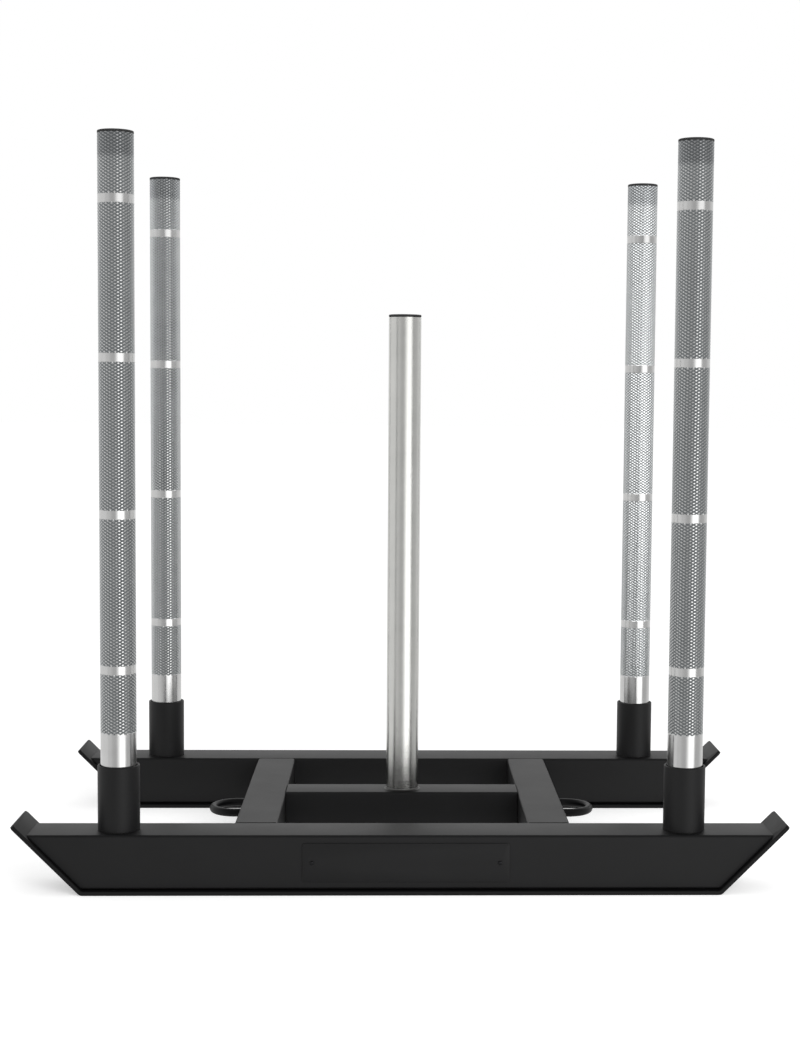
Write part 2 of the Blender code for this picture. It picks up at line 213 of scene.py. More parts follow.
class SledFinishSettings(bpy.types.PropertyGroup):
    """Colours and roughness of the finishes."""

    coat: colour("Powder Coat", "Powder coat of the tubes and sockets", (0.0055, 0.0055, 0.0058))
    coat_roughness: share("Coat Roughness", "Mean roughness of the powder coat", 0.5)
    skid_coat: colour("Skid Coat", "Powder coat of the skids", (0.0025, 0.0025, 0.0027))
    ring_coat: colour("Ring Coat", "Satin coat of the tow rings", (0.0045, 0.0045, 0.0048))
    ring_roughness: share("Ring Roughness", "Mean roughness of the tow rings", 0.4)
    post_steel: colour("Post Steel", "Stainless steel of the plate post", (0.625, 0.624, 0.603))
    post_roughness: share("Post Roughness", "Mean roughness of the plate post", 0.2)
    # Painted shade: the post is tinted darker towards its foot.
    rubbed_steel: colour("Rubbed Steel", "Rubbed foot of the plate post", (0.2, 0.2, 0.195))
    rubbed_share: share("Rubbed Share", "How much of the rubbed colour shows", 0.4)
    # Painted shade: the weld is tinted dark. The dullness setting also makes it rougher.
    weld_steel: colour("Weld Steel", "Dull weld round the post's foot", (0.09, 0.09, 0.087))
    pole_steel: colour("Pole Steel", "Crests and bands of the poles", (0.615, 0.615, 0.61))
    # Painted shade: the knurl's grooves are tinted darker.
    groove_steel: colour("Groove Steel", "Bottom of the knurl's grooves", (0.355, 0.385, 0.4))
    pole_roughness: share("Pole Roughness", "Mean roughness of the poles' bands", 0.2)
    # The poles are tinted darker towards their upper ends.
    worn_steel: colour("Worn Steel", "Worn upper ends of the poles", (0.2, 0.21, 0.22))
    worn_share: share("Worn Share", "How much of the worn colour shows", 0.53)
    dullness: share("Dullness", "Roughness that the weld and the grooves add", 0.25)
    plastic: colour("Cap Plastic", "Plastic of the caps", (0.002, 0.002, 0.0022))
    plastic_roughness: share("Cap Roughness", "Mean roughness of the caps", 0.42)
    enamel: colour("Plate Enamel", "Enamel of the bare name plate", (0.0055, 0.0055, 0.0058))
    zinc: colour("Screw Zinc", "Dark zinc of the screws", (0.03, 0.03, 0.032))
    zinc_roughness: share("Screw Roughness", "Mean roughness of the screws", 0.3)


class SledStageSettings(bpy.types.PropertyGroup):
    """Floor, lamps and camera."""

    camera_place: spot("Camera Place", "Place of the camera", (-0.01803, -2.7753, 0.6941))
    camera_yaw: angle("Camera Yaw", "Turn of the camera from +Y towards +X", 0.0386)
    camera_pitch: angle("Camera Pitch", "Tilt of the camera below the horizon", 0.0753)
    camera_roll: angle("Camera Roll", "Turn of the camera about its own line of sight", 0.0092)
    lens: level("Lens", "Focal length in millimetres on a sensor of 36 mm", 62.13)
    shift_x: shift("Shift X", "Sideways shift of the frame", -0.05886)
    shift_y: shift("Shift Y", "Upward shift of the frame", 0.01243)
    floor_half: length("Floor Half Width", "Half the width of the floor", 40.0)
    floor_colour: colour("Floor", "Colour of the floor", (0.82, 0.82, 0.82))
    floor_roughness: share("Floor Roughness", "Roughness of the floor", 0.9)
    floor_glow: level("Floor Glow", "Extra level that shows the lit floor white", 0.4)
    studio_level: level("Studio Level", "Level of the soft light from all sides", 0.8)
    softbox_level: level("Softbox Level", "Level of the softbox that the metal mirrors", 1.8)
    ceiling_level: share("Ceiling Level", "Level overhead, as a share of that at eye height", 0.3)
    ground_level: share("Ground Level", "Level of the floor as the metal mirrors it", 0.5)
    key_power: level("Key Lamp", "Watts of the large lamp at the front right", 60.0)
    top_power: level("Top Lamp", "Watts of the lamp that lights only the front left pole", 37.0)
    back_power: level("Back Lamp", "Watts of the lamp that lights only the two left poles", 30.0)


SETTINGS = {
    "sled_tube": SledTubeSettings,
    "sled_skid": SledSkidSettings,
    "sled_socket": SledSocketSettings,
    "sled_pole": SledPoleSettings,
    "sled_post": SledPostSettings,
    "sled_cap": SledCapSettings,
    "sled_ring": SledRingSettings,
    "sled_plate": SledPlateSettings,
    "sled_finish": SledFinishSettings,
    "sled_stage": SledStageSettings,
}


class Field:
    """An output socket that stands in sums. Each sum adds a Math node."""

    def __init__(self, tree, socket):
        self.tree = tree
        self.socket = socket

    def __add__(self, other):
        return calc("ADD", self, other)

    def __sub__(self, other):
        return calc("SUBTRACT", self, other)

    def __rsub__(self, other):
        return calc("SUBTRACT", other, self)

    def __mul__(self, other):
        return calc("MULTIPLY", self, other)

    def __truediv__(self, other):
        return calc("DIVIDE", self, other)

    def __rtruediv__(self, other):
        return calc("DIVIDE", other, self)

    def __mod__(self, other):
        return calc("FLOORED_MODULO", self, other)

    def __lt__(self, other):
        return calc("LESS_THAN", self, other)

    def __gt__(self, other):
        return calc("GREATER_THAN", self, other)

    def __abs__(self):
        return calc("ABSOLUTE", self)


class Added:
    """A node that was added. Its outputs are read as fields, by name or number."""

    def __init__(self, tree, node):
        self.tree = tree
        self.node = node

    def __getitem__(self, key):
        return Field(self.tree, self.node.outputs[key])


def add(tree, kind, inputs=None, **settings):
    """Add a node. Each input takes a plain value, or a field to link."""
    node = tree.nodes.new(kind)
    for name, value in settings.items():
        setattr(node, name, value)
    for name, value in (inputs or {}).items():
        if isinstance(value, Field):
            tree.links.new(value.socket, node.inputs[name])
        else:
            node.inputs[name].default_value = value
    return Added(tree, node)


def calc(operation, *values):
    """Add a Math node for one or more fields and plain values, and return its result."""
    tree = next(value.tree for value in values if isinstance(value, Field))
    return add(tree, "ShaderNodeMath", dict(enumerate(values)), operation=operation)[0]


def remap(value, start, end, low=0.0, high=1.0, interpolation="LINEAR"):
    """Map a field's range from start to end to the range from low to high, and hold it there."""
    inputs = {"Value": value, "From Min": start, "From Max": end, "To Min": low, "To Max": high}
    return add(value.tree, "ShaderNodeMapRange", inputs, interpolation_type=interpolation)["Result"]


def mix(factor, first, second, data_type="FLOAT"):
    """Mix two levels or colours. The first shows where the factor is zero."""
    inputs = {"Factor": factor, "A": first, "B": second}
    return add(factor.tree, "ShaderNodeMix", inputs, data_type=data_type)["Result"]


def noise(place, scale, detail, roughness):
    inputs = {"Vector": place, "Scale": scale, "Detail": detail, "Roughness": roughness}
    return add(place.tree, "ShaderNodeTexNoise", inputs)["Fac"]


FLOAT = "NodeSocketFloat"
INT = "NodeSocketInt"
VECTOR = "NodeSocketVector"
GEOMETRY = "NodeSocketGeometry"


def group_tree(kind, name, inputs, outputs):
    """Start a node group, with its sockets' names listed by type. Returns it and its inputs."""
    tree = bpy.data.node_groups.new(name, kind)
    for in_out, sockets in (("INPUT", inputs), ("OUTPUT", outputs)):
        for socket_type, labels in sockets.items():
            for label in labels:
                tree.interface.new_socket(label, in_out=in_out, socket_type=socket_type)
    return tree, add(tree, "NodeGroupInput")


def geometry_tree(name, inputs):
    """Start a geometry tree that takes a geometry, the inputs given and a material."""
    sockets = {GEOMETRY: ["Geometry"], **inputs, "NodeSocketMaterial": ["Material"]}
    return group_tree("GeometryNodeTree", name, sockets, {GEOMETRY: ["Geometry"]})


def close_dressed(tree, geometry, material):
    """End a geometry tree with Realize Instances and Set Material."""
    real = add(tree, "GeometryNodeRealizeInstances", {"Geometry": geometry})[0]
    dressed = add(tree, "GeometryNodeSetMaterial", {"Geometry": real, "Material": material})[0]
    add(tree, "NodeGroupOutput", {"Geometry": dressed})
    return tree


def shared_group(build):
    """Return the node group that build makes, and build it only once."""
    return bpy.data.node_groups.get(build.__name__) or build(build.__name__)


# Range of a noise that the patches of a finish use, and what they do there to tint and roughness.
PATCH_RANGE = (0.3, 0.7)
COAT_TINTS = (0.85, 1.15)
COAT_GLOSSES = (-0.02, 0.02)
STEEL_TINTS = (0.94, 1.04)
STEEL_GLOSSES = (-0.04, 0.05)
# Size of the gloss patches on a coat, and how strong its pits are beside its grain.
COAT_PATCH = 0.08
PIT_SHARE = 0.6
# Smudges on steel to the metre.
SMUDGE_SCALE = 22.0
# Heights above the plate post's foot at which the painted shade towards the foot, and the weld's painted
# shade and roughness, start and are full.
FOOT_SHADE_HEIGHTS = (0.09, 0.03)
WELD_RING = (0.004, 0.0015)
# Depths below a pole's upper end at which its darker tint starts and is full.
TOP_END_DEPTHS = (0.036, 0.028)


def coat_texture(name):
    """Fine orange peel of a powder coat, and slow patches of its gloss."""
    tree, given = group_tree(
        "ShaderNodeTree", name, {FLOAT: ["Grain Size", "Patch Size"]}, {FLOAT: ["Relief", "Patches"]}
    )
    place = add(tree, "ShaderNodeTexCoord")["Object"]
    fine = 1.0 / given["Grain Size"]
    pits = add(tree, "ShaderNodeTexVoronoi", {"Vector": place, "Scale": fine}, feature="SMOOTH_F1")
    relief = pits["Distance"] * PIT_SHARE + noise(place, fine, detail=2.0, roughness=0.6)
    patches = noise(place, 1.0 / given["Patch Size"], detail=4.0, roughness=0.55)
    add(tree, "NodeGroupOutput", {"Relief": relief, "Patches": patches})
    return tree


def steel_texture(name):
    """Fine brush lines along an upright tube or round it, and slow smudges of its polish."""
    tree, given = group_tree(
        "ShaderNodeTree", name, {FLOAT: ["Size Across", "Size Along", "Smudge Scale"]},
        {FLOAT: ["Relief", "Patches"]},
    )
    place = add(tree, "ShaderNodeTexCoord")["Object"]
    across = 1.0 / given["Size Across"]
    scale = add(tree, "ShaderNodeCombineXYZ", {"X": across, "Y": across, "Z": 1.0 / given["Size Along"]})[0]
    stretched = add(tree, "ShaderNodeVectorMath", {0: place, 1: scale}, operation="MULTIPLY")[0]
    lines = noise(stretched, 1.0, detail=3.0, roughness=0.5)
    smudges = noise(place, given["Smudge Scale"], detail=5.0, roughness=0.6)
    add(tree, "NodeGroupOutput", {"Relief": lines, "Patches": smudges})
    return tree


def new_shader(name):
    """Start a material, and return its Principled shader."""
    material = bpy.data.materials.new(name)
    material.use_nodes = True
    return material.node_tree.nodes["Principled BSDF"]


def feed(shader, socket, field):
    """Link a field to one of a shader's sockets, in place of what fed it before."""
    field.tree.links.new(field.socket, shader.inputs[socket])


def fed(shader, socket):
    """The field that feeds one of a shader's sockets."""
    return Field(shader.id_data, shader.inputs[socket].links[0].from_socket)


def patchy_shader(name, texture, sizes, tint, tints, roughness, glosses, depth, strength):
    """Shader whose colour and roughness follow slow patches, over a fine relief.

    tints multiply the tint, and glosses add to the roughness, at the two ends of the patches.
    """
    shader = new_shader(name)
    tree = shader.id_data
    relief, patches = add(tree, "ShaderNodeGroup", sizes, node_tree=shared_group(texture))
    first, second = [(*(part * factor for part in tint), 1.0) for factor in tints]
    feed(shader, "Base Color", mix(remap(patches, *PATCH_RANGE), first, second, "RGBA"))
    feed(shader, "Roughness", remap(patches, *PATCH_RANGE, *(roughness + gloss for gloss in glosses)))
    bump = add(tree, "ShaderNodeBump", {"Height": relief, "Distance": depth, "Strength": strength})
    feed(shader, "Normal", bump["Normal"])
    return shader


def coat_shader(name, tint, roughness, grain, depth, specular):
    """Powder coat or moulded plastic: near black, with a fine texture and uneven gloss."""
    sizes = {"Grain Size": grain, "Patch Size": COAT_PATCH}
    shader = patchy_shader(
        name, coat_texture, sizes, tint, COAT_TINTS, roughness, COAT_GLOSSES, depth, strength=0.5
    )
    shader.inputs["Specular IOR Level"].default_value = specular


def steel_shader(name, tint, roughness, depth, across=0.0004, along=0.12):
    """Stainless or zinc-plated steel. Its brush lines have the given sizes across and along a tube."""
    sizes = {"Size Across": across, "Size Along": along, "Smudge Scale": SMUDGE_SCALE}
    shader = patchy_shader(
        name, steel_texture, sizes, tint, STEEL_TINTS, roughness, STEEL_GLOSSES, depth, strength=1.0
    )
    shader.inputs["Metallic"].default_value = 1.0
    return shader


def height_mask(shader, start, end):
    """Zero at one height of the piece, one at the other, and straight between them."""
    place = add(shader.id_data, "ShaderNodeTexCoord")["Object"]
    return remap(add(shader.id_data, "ShaderNodeSeparateXYZ", {0: place})["Z"], start, end)


def tint_over(shader, mask, tint):
    """Mix a second colour over a shader's base colour where the mask is one."""
    feed(shader, "Base Color", mix(mask, fed(shader, "Base Color"), (*tint, 1.0), "RGBA"))


def dull_over(shader, mask, extra):
    """Add to a shader's roughness where the mask is one."""
    feed(shader, "Roughness", mask * extra + fed(shader, "Roughness"))


def frame_powder_coat(name, finish):
    """Matte black powder coat of the tubes and the sockets."""
    coat_shader(name, finish.coat, finish.coat_roughness, grain=0.0009, depth=0.00006, specular=0.31)


def skid_powder_coat(name, finish):
    """Darker powder coat of the skids."""
    coat_shader(name, finish.skid_coat, finish.coat_roughness, grain=0.0009, depth=0.00006, specular=0.25)


def ring_satin_coat(name, finish):
    """Satin coat of the tow rings."""
    coat_shader(name, finish.ring_coat, finish.ring_roughness, grain=0.0012, depth=0.00004, specular=0.22)


def cap_plastic(name, finish):
    """Moulded plastic of the caps."""
    coat_shader(name, finish.plastic, finish.plastic_roughness, grain=0.0005, depth=0.00002, specular=0.05)


def name_plate_enamel(name, finish):
    """Dark enamel of the bare name plate."""
    coat_shader(name, finish.enamel, finish.coat_roughness, grain=0.0016, depth=0.00002, specular=0.32)


def post_stainless(name, finish):
    """Stainless post, brushed round, with painted shade towards its foot, and a rougher weld with painted
    shade.
    """
    shader = steel_shader(
        name, finish.post_steel, finish.post_roughness, depth=0.00006, across=0.06, along=0.00018
    )
    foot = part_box("plate_post")[0].z
    # Painted shade: darker towards the post's foot.
    shaded_foot = height_mask(shader, foot + FOOT_SHADE_HEIGHTS[0], foot + FOOT_SHADE_HEIGHTS[1])
    tint_over(shader, shaded_foot * finish.rubbed_share, finish.rubbed_steel)
    # Painted shade on the weld, which is also rougher.
    weld = height_mask(shader, foot + WELD_RING[0], foot + WELD_RING[1])
    tint_over(shader, weld, finish.weld_steel)
    dull_over(shader, weld, finish.dullness)


def knurled_pole_steel(name, finish):
    """Stainless pole: bright crests and bands, rougher grooves with painted shade between the diamonds, and
    a darker upper end.
    """
    shader = steel_shader(name, finish.pole_steel, finish.pole_roughness, depth=0.000006)
    # Painted shade in the grooves, which are also rougher.
    groove = 1.0 - add(shader.id_data, "ShaderNodeAttribute", attribute_name="crest")["Fac"]
    tint_over(shader, groove, finish.groove_steel)
    dull_over(shader, groove, finish.dullness)
    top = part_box("front_right_pole")[1].z
    # Darker towards the pole's upper end.
    top_end = height_mask(shader, top - TOP_END_DEPTHS[0], top - TOP_END_DEPTHS[1])
    tint_over(shader, top_end * finish.worn_share, finish.worn_steel)


def screw_dark_zinc(name, finish):
    """Dark zinc of the screws."""
    steel_shader(name, finish.zinc, finish.zinc_roughness, depth=0.000003)


FINISHES = {
    "frame_coat": frame_powder_coat,
    "skid_coat": skid_powder_coat,
    "ring_coat": ring_satin_coat,
    "post_steel": post_stainless,
    "pole_steel": knurled_pole_steel,
    "cap_plastic": cap_plastic,
    "name_plate": name_plate_enamel,
    "screw_steel": screw_dark_zinc,
}


def material_for(slot):
    """The finish that stands for one of the record's material slots, made only once."""
    build = FINISHES[slot]
    if build.__name__ not in bpy.data.materials:
        build(build.__name__, bpy.context.scene.sled_finish)
    return bpy.data.materials[build.__name__]


def shade(mesh):
    """Shade the round parts smooth and keep the corners crisp."""
    mesh.shade_smooth()
    mesh.set_sharp_from_angle(angle=SHARP_ANGLE)
    return mesh


def finished(bm):
    bmesh.ops.recalc_face_normals(bm, faces=bm.faces)
    mesh = bpy.data.meshes.new("piece")
    bm.to_mesh(mesh)
    bm.free()
    return shade(mesh)


def lofted(rings, wrap=False, closed_ends=False):
    """Skin rings of points, each with the same number of points, in their order."""
    bm = bmesh.new()
    rows = [[bm.verts.new(point) for point in ring] for ring in rings]
    pairs = list(zip(rows, rows[1:]))
    if wrap:
        pairs.append((rows[-1], rows[0]))
    for low, high in pairs:
        for i in range(len(low)):
            bm.faces.new((low[i - 1], low[i], high[i], high[i - 1]))
    if closed_ends:
        bm.faces.new(rows[0])
        bm.faces.new(rows[-1])
    return finished(bm)


def arc(centre, radius, start, end, steps):
    """Points of an arc in the profile plane. Angles are in degrees."""
    points = []
    for step in range(steps + 1):
        turn = math.radians(start + (end - start) * step / steps)
        points.append((centre[0] + radius * math.cos(turn), centre[1] + radius * math.sin(turn)))
    return points


def raised(outline, height):
    return [(x, y, height) for x, y in outline]


def round_rings(profile, steps):
    """Rings round Z, one for each (radius, height) point of a profile."""
    return [raised(arc((0.0, 0.0), radius, 0, 360, steps)[:-1], height) for radius, height in profile]


def turned(profile, steps, wrap=False, closed_ends=False):
    """Turn a profile of (radius, height) points round Z."""
    return lofted(round_rings(profile, steps), wrap, closed_ends)


def rounded_rectangle(width, height, radius, steps):
    """Points of a rounded rectangle round the origin, anticlockwise."""
    points = []
    for corner, (side_u, side_v) in enumerate(((1, 1), (-1, 1), (-1, -1), (1, -1))):
        centre = (side_u * (width / 2 - radius), side_v * (height / 2 - radius))
        points += arc(centre, radius, 90 * corner, 90 * corner + 90, steps)
    return points


def show(name, mesh, nodes, slot, body=ROOT, place=None):
    """Add one finished piece in place of its CAD nodes, riding on their body."""
    mesh.name = name
    if place is not None:
        mesh.transform(Matrix.Translation(place))
    if not mesh.materials:
        mesh.materials.append(material_for(slot))
    piece = add_object(name, mesh)
    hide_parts(*nodes)
    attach(piece, body)


def add_object(name, data):
    made = bpy.data.objects.new(name, data)
    bpy.context.scene.collection.objects.link(made)
    return made


def plain_mesh(source):
    """Keep an object's shape after its modifiers as a plain mesh, and remove the object."""
    graph = bpy.context.evaluated_depsgraph_get()
    graph.update()
    mesh = bpy.data.meshes.new_from_object(
        source.evaluated_get(graph), preserve_all_data_layers=True, depsgraph=graph
    )
    materials = [material for material in mesh.materials if material]
    mesh.materials.clear()
    for material in materials:
        mesh.materials.append(material)
    source.modifiers.clear()
    bpy.data.objects.remove(source)
    return shade(mesh)


def grown_mesh(source, build, inputs):
    """Run a geometry tree on an object and keep its result as a plain mesh."""
    tree = shared_group(build)
    modifier = source.modifiers.new(tree.name, "NODES")
    modifier.node_group = tree
    for socket in tree.interface.items_tree:
        if socket.in_out == "INPUT" and socket.name in inputs:
            modifier[socket.identifier] = inputs[socket.name]
    return plain_mesh(source)


def square_tube(size, tube, lean=0.0):
    """Square tube along X with rounded corners and softened mouths.

    Its ends lean outwards by lean for each metre of height.
    """
    half = size.x / 2 - lean * size.z / 2
    wall = tube.wall
    mouth = tube.mouth
    rings = []
    for inset, reach in (
        (0.0, half - mouth), (mouth, half), (wall - mouth, half), (wall, half - mouth),
        (wall, mouth - half), (wall - mouth, -half), (mouth, -half), (0.0, mouth - half),
    ):
        radius = max(tube.corner - inset, mouth)
        outline = rounded_rectangle(size.y - 2 * inset, size.z - 2 * inset, radius, tube.corner_steps)
        rings.append([(reach + math.copysign(lean, reach) * z, y, z) for y, z in outline])
    return lofted(rings, wrap=True)


def skid_place(skid, flat, along, inward):
    """Where a point of the flat blank lies once the plate is bent, as (x, z)."""
    past_flat = abs(along) - flat
    if past_flat <= 0:
        return along, inward
    radius = skid.bend_radius - inward
    turn = min(past_flat / skid.bend_radius, skid.slope)
    straight = past_flat - turn * skid.bend_radius
    x = flat + radius * math.sin(turn) + straight * math.cos(turn)
    z = skid.bend_radius - radius * math.cos(turn) + straight * math.sin(turn)
    return math.copysign(x, along), z


def skid_plate(skid, width):
    """Flat blank with round corners and a softened rim, cut at its bend lines, then bent."""
    setback = skid.bend_radius * math.tan(skid.slope / 2)
    flat = skid.corner_span / 2 - setback
    bend_length = skid.bend_radius * skid.slope
    tip_length = skid.tip_height / math.sin(skid.slope) - setback
    blank_length = 2 * (flat + bend_length + tip_length)
    bm = bmesh.new()
    outline = rounded_rectangle(blank_length, width, skid.tip_radius, RIM_STEPS)
    bm.faces.new([bm.verts.new((x, y, 0.0)) for x, y in outline])
    grown = bmesh.ops.extrude_face_region(bm, geom=bm.faces[:], use_keep_orig=True)
    for item in grown["geom"]:
        if isinstance(item, bmesh.types.BMVert):
            item.co.z = skid.thickness
    bmesh.ops.recalc_face_normals(bm, faces=bm.faces)
    rim = [edge for edge in bm.edges if edge.calc_face_angle(0.0) > RIM_ANGLE]
    bmesh.ops.bevel(bm, geom=rim, offset=skid.edge, segments=skid.edge_steps, profile=0.5, affect="EDGES")
    for side in (1, -1):
        for step in range(skid.bend_steps + 1):
            cut = side * (flat + bend_length * step / skid.bend_steps)
            everything = bm.verts[:] + bm.edges[:] + bm.faces[:]
            bmesh.ops.bisect_plane(bm, geom=everything, plane_co=(cut, 0, 0), plane_no=(1, 0, 0))
    for vert in bm.verts:
        vert.co.x, vert.co.z = skid_place(skid, flat, vert.co.x, vert.co.z)
    return finished(bm)


# Sizes of the knurl that the poles' settings and the knurl's tree both have.
KNURL_SIZES = ("Knurl Depth", "Crest Size", "Knurl Start", "First Band", "Band Pitch", "Band Width")


def knurled_tube(name):
    """Tube with rows of raised diamonds between plain bands.

    One grid is wrapped round the tube. Each diamond takes four of its columns and four of
    its rows. The first and last rows close the tube through its bore.
    """
    sizes = ("Row Height", "First Row", "Length", "Radius", "Bore Radius", *KNURL_SIZES)
    tree, given = geometry_tree(name, {INT: ["Columns", "Rows"], FLOAT: sizes})
    rows = given["Rows"]
    row_height = given["Row Height"]
    columns = given["Columns"] * 4.0
    last_row = rows + 2.0
    counts = {"Vertices X": columns + 1.0, "Vertices Y": last_row + 1.0}
    grid = add(tree, "GeometryNodeMeshGrid", {"Size X": columns, "Size Y": last_row, **counts})["Mesh"]
    where = add(tree, "ShaderNodeSeparateXYZ", {0: add(tree, "GeometryNodeInputPosition")[0]})
    column_place = columns * 0.5 + where["X"]
    row_place = last_row * 0.5 + where["Y"]

    # The grid's cells are cut along the diamonds' edges, one way and then the other.
    crossed = (calc("FLOOR", column_place * 0.5) + calc("FLOOR", row_place * 0.5)) % 2.0
    one_way = add(
        tree, "GeometryNodeTriangulate", {"Mesh": grid, "Selection": crossed}, quad_method="FIXED"
    )[0]
    both_ways = add(tree, "GeometryNodeTriangulate", {"Mesh": one_way}, quad_method="FIXED_ALTERNATE")[0]

    # A groove's bottom lies between four diamonds, and along each edge that two of them share.
    column = calc("ROUND", column_place)
    row = calc("ROUND", row_place)
    column_odd = column % 2.0
    row_odd = row % 2.0
    pair_odd = calc("FLOOR", (column + row) * 0.5) % 2.0
    same_kind = 1.0 - abs(column_odd - row_odd)
    low_point = same_kind * calc("MAXIMUM", column_odd, pair_odd)

    # Bands and the foot below the knurl stay plain. A quarter row keeps a band's edge rows in it.
    rise = (row - 1.0) * row_height + given["First Row"]
    height = calc("MINIMUM", calc("MAXIMUM", rise, 0.0), given["Length"])
    half_pitch = given["Band Pitch"] * 0.5
    from_band = calc("WRAP", height - given["First Band"], half_pitch, half_pitch * -1.0)
    band_edge = row_height * 0.25 + given["Band Width"] * 0.5
    knurled = (abs(from_band) > band_edge) * (height > given["Knurl Start"])
    groove = low_point * knurled

    # A crest's corners start halfway to the diamond's corners, and move towards its middle.
    inward = 1.0 - given["Crest Size"] * 2.0
    toward = ((column + row + 1.0) * 0.5) % 2.0 * -2.0 + 1.0
    moved = toward * inward * (1.0 - same_kind) * knurled
    shaped_height = calc("MINIMUM", height + moved * row_odd * row_height, given["Length"])

    # The first row and the last two lie in the bore, and the last is back at the foot.
    in_bore = calc("MAXIMUM", row < 0.5, row > rows + 0.5)
    outside = given["Radius"] - groove * given["Knurl Depth"]
    radius = in_bore * (given["Bore Radius"] - outside) + outside
    above_foot = row < rows + 1.5
    turn = (column + moved * column_odd) * math.tau / columns
    x = radius * calc("COSINE", turn)
    y = radius * calc("SINE", turn)
    wrapped = add(tree, "ShaderNodeCombineXYZ", {"X": x, "Y": y, "Z": shaped_height * above_foot})[0]
    crest = {"Geometry": both_ways, "Name": "crest", "Value": 1.0 - groove}
    marked = add(tree, "GeometryNodeStoreNamedAttribute", crest, data_type="FLOAT", domain="POINT")[0]
    bent = add(tree, "GeometryNodeSetPosition", {"Geometry": marked, "Position": wrapped})[0]
    joined = add(tree, "GeometryNodeMergeByDistance", {"Geometry": bent, "Distance": SAME_POINT})[0]
    return close_dressed(tree, joined, given["Material"])


def swept_bar(name):
    """Round bar along a path, with closed ends."""
    tree, given = geometry_tree(name, {FLOAT: ["Bar Radius"], INT: ["Sides"]})
    circle = {"Resolution": given["Sides"], "Radius": given["Bar Radius"]}
    section = add(tree, "GeometryNodeCurvePrimitiveCircle", circle)["Curve"]
    sweep = {"Curve": given["Geometry"], "Profile Curve": section, "Fill Caps": True}
    return close_dressed(tree, add(tree, "GeometryNodeCurveToMesh", sweep)[0], given["Material"])


def screw_row(name):
    """A row of like screws from one place to another."""
    tree, given = geometry_tree(
        name, {"NodeSocketObject": ["Screw"], INT: ["Count"], VECTOR: ["First", "Last"]}
    )
    ends = {"Count": given["Count"], "Start Location": given["First"], "Offset": given["Last"]}
    line = add(tree, "GeometryNodeMeshLine", ends, mode="END_POINTS")[0]
    screw = add(tree, "GeometryNodeObjectInfo", {"Object": given["Screw"]})["Geometry"]
    set_out = add(tree, "GeometryNodeInstanceOnPoints", {"Points": line, "Instance": screw})[0]
    return close_dressed(tree, set_out, given["Material"])


def end_cap(cap, size, tube_wall, steps):
    """End cap with a round-edged flange and a skirt. The flange's underside is at height zero."""
    flange = size.x / 2
    skirt = flange - tube_wall - cap.clearance
    inside = skirt - cap.skirt_wall
    depth = size.z - cap.flange
    profile = [(inside, 0.0), (inside, -depth), (skirt, -depth), (skirt, 0.0)]
    profile += [(flange - cap.lower_edge, 0.0), (flange, cap.lower_edge)]
    profile += arc((flange - cap.edge, cap.flange - cap.edge), cap.edge, 0, 90, RIM_STEPS)
    return turned(profile, steps, closed_ends=True)


def button_screw(plate, head_diameter, total):
    """Button screw along Y with a hexagon recess. Its head points to -Y, with its underside at zero."""
    head = head_diameter / 2
    crown = plate.crown / 2
    dome = plate.head_height - plate.head_edge
    profile = [(plate.shank / 2, plate.head_height - total), (plate.shank / 2, 0.0), (head, 0.0)]
    for across, up in arc((0.0, 0.0), 1.0, 0, 90, 3):
        profile.append((crown + (head - crown) * across, plate.head_edge + dome * up))
    hexagon = []
    sixth = math.tau / 6
    for step in range(plate.steps):
        turn = math.tau * step / plate.steps
        radius = plate.key_width / 2 / math.cos((turn + sixth / 2) % sixth - sixth / 2)
        hexagon.append((radius * math.cos(turn), radius * math.sin(turn)))
    recess = [raised(hexagon, plate.head_height), raised(hexagon, plate.head_height - plate.key_depth)]
    mesh = lofted(round_rings(profile, plate.steps) + recess, closed_ends=True)
    mesh.transform(FACE_RIGHT)
    return mesh


class SLED_OT_runners(bpy.types.Operator):
    """Build the two runners, whose ends follow the skids' slope"""

    bl_idname = "sled.runners"
    bl_label = "Runners"

    def execute(self, context):
        tube = context.scene.sled_tube
        lean = 1 / math.tan(tube.runner_slope)
        for side in SIDES:
            node = side + "_runner"
            mesh = square_tube(node_size(node), tube, lean)
            show(node + "_tube", mesh, [node], "frame_coat", place=node_centre(node))
        return {"FINISHED"}


class SLED_OT_skids(bpy.types.Operator):
    """Build the two bent skid plates"""

    bl_idname = "sled.skids"
    bl_label = "Skids"

    def execute(self, context):
        for side in SIDES:
            node = side + "_skid"
            mesh = skid_plate(context.scene.sled_skid, node_size(node).y)
            show(node + "_plate", mesh, [node], "skid_coat", place=node_foot(node))
        return {"FINISHED"}


class SLED_OT_cross_frame(bpy.types.Operator):
    """Build the two cross members and the centre beam"""

    bl_idname = "sled.cross_frame"
    bl_label = "Cross Frame"

    def execute(self, context):
        tube = context.scene.sled_tube
        for end in ENDS:
            node = end + "_cross_member"
            size = node_size(node)
            mesh = square_tube(Vector((size.y, size.x, size.z)), tube)
            mesh.transform(Matrix.Rotation(math.pi / 2, 4, "Z"))
            show(end + "_cross_tube", mesh, [node], "frame_coat", place=node_centre(node))
        mesh = square_tube(node_size("centre_beam"), tube)
        show("centre_beam_tube", mesh, ["centre_beam"], "frame_coat", place=node_centre("centre_beam"))
        return {"FINISHED"}


class SLED_OT_sockets(bpy.types.Operator):
    """Build the four round pole sockets with their rounded mouths"""

    bl_idname = "sled.sockets"
    bl_label = "Sockets"

    def execute(self, context):
        socket = context.scene.sled_socket
        rim = socket.rim
        for corner in CORNERS:
            node = corner + "_socket"
            size = node_size(node)
            outside = size.x / 2
            bore = outside - socket.wall
            profile = [(outside, 0.0)]
            profile += arc((outside - rim, size.z - rim), rim, 0, 90, RIM_STEPS)
            profile += arc((bore + rim, size.z - rim), rim, 90, 180, RIM_STEPS)
            profile.append((bore, 0.0))
            mesh = turned(profile, socket.steps, wrap=True)
            show(node + "_tube", mesh, [node], "frame_coat", place=node_foot(node))
        return {"FINISHED"}


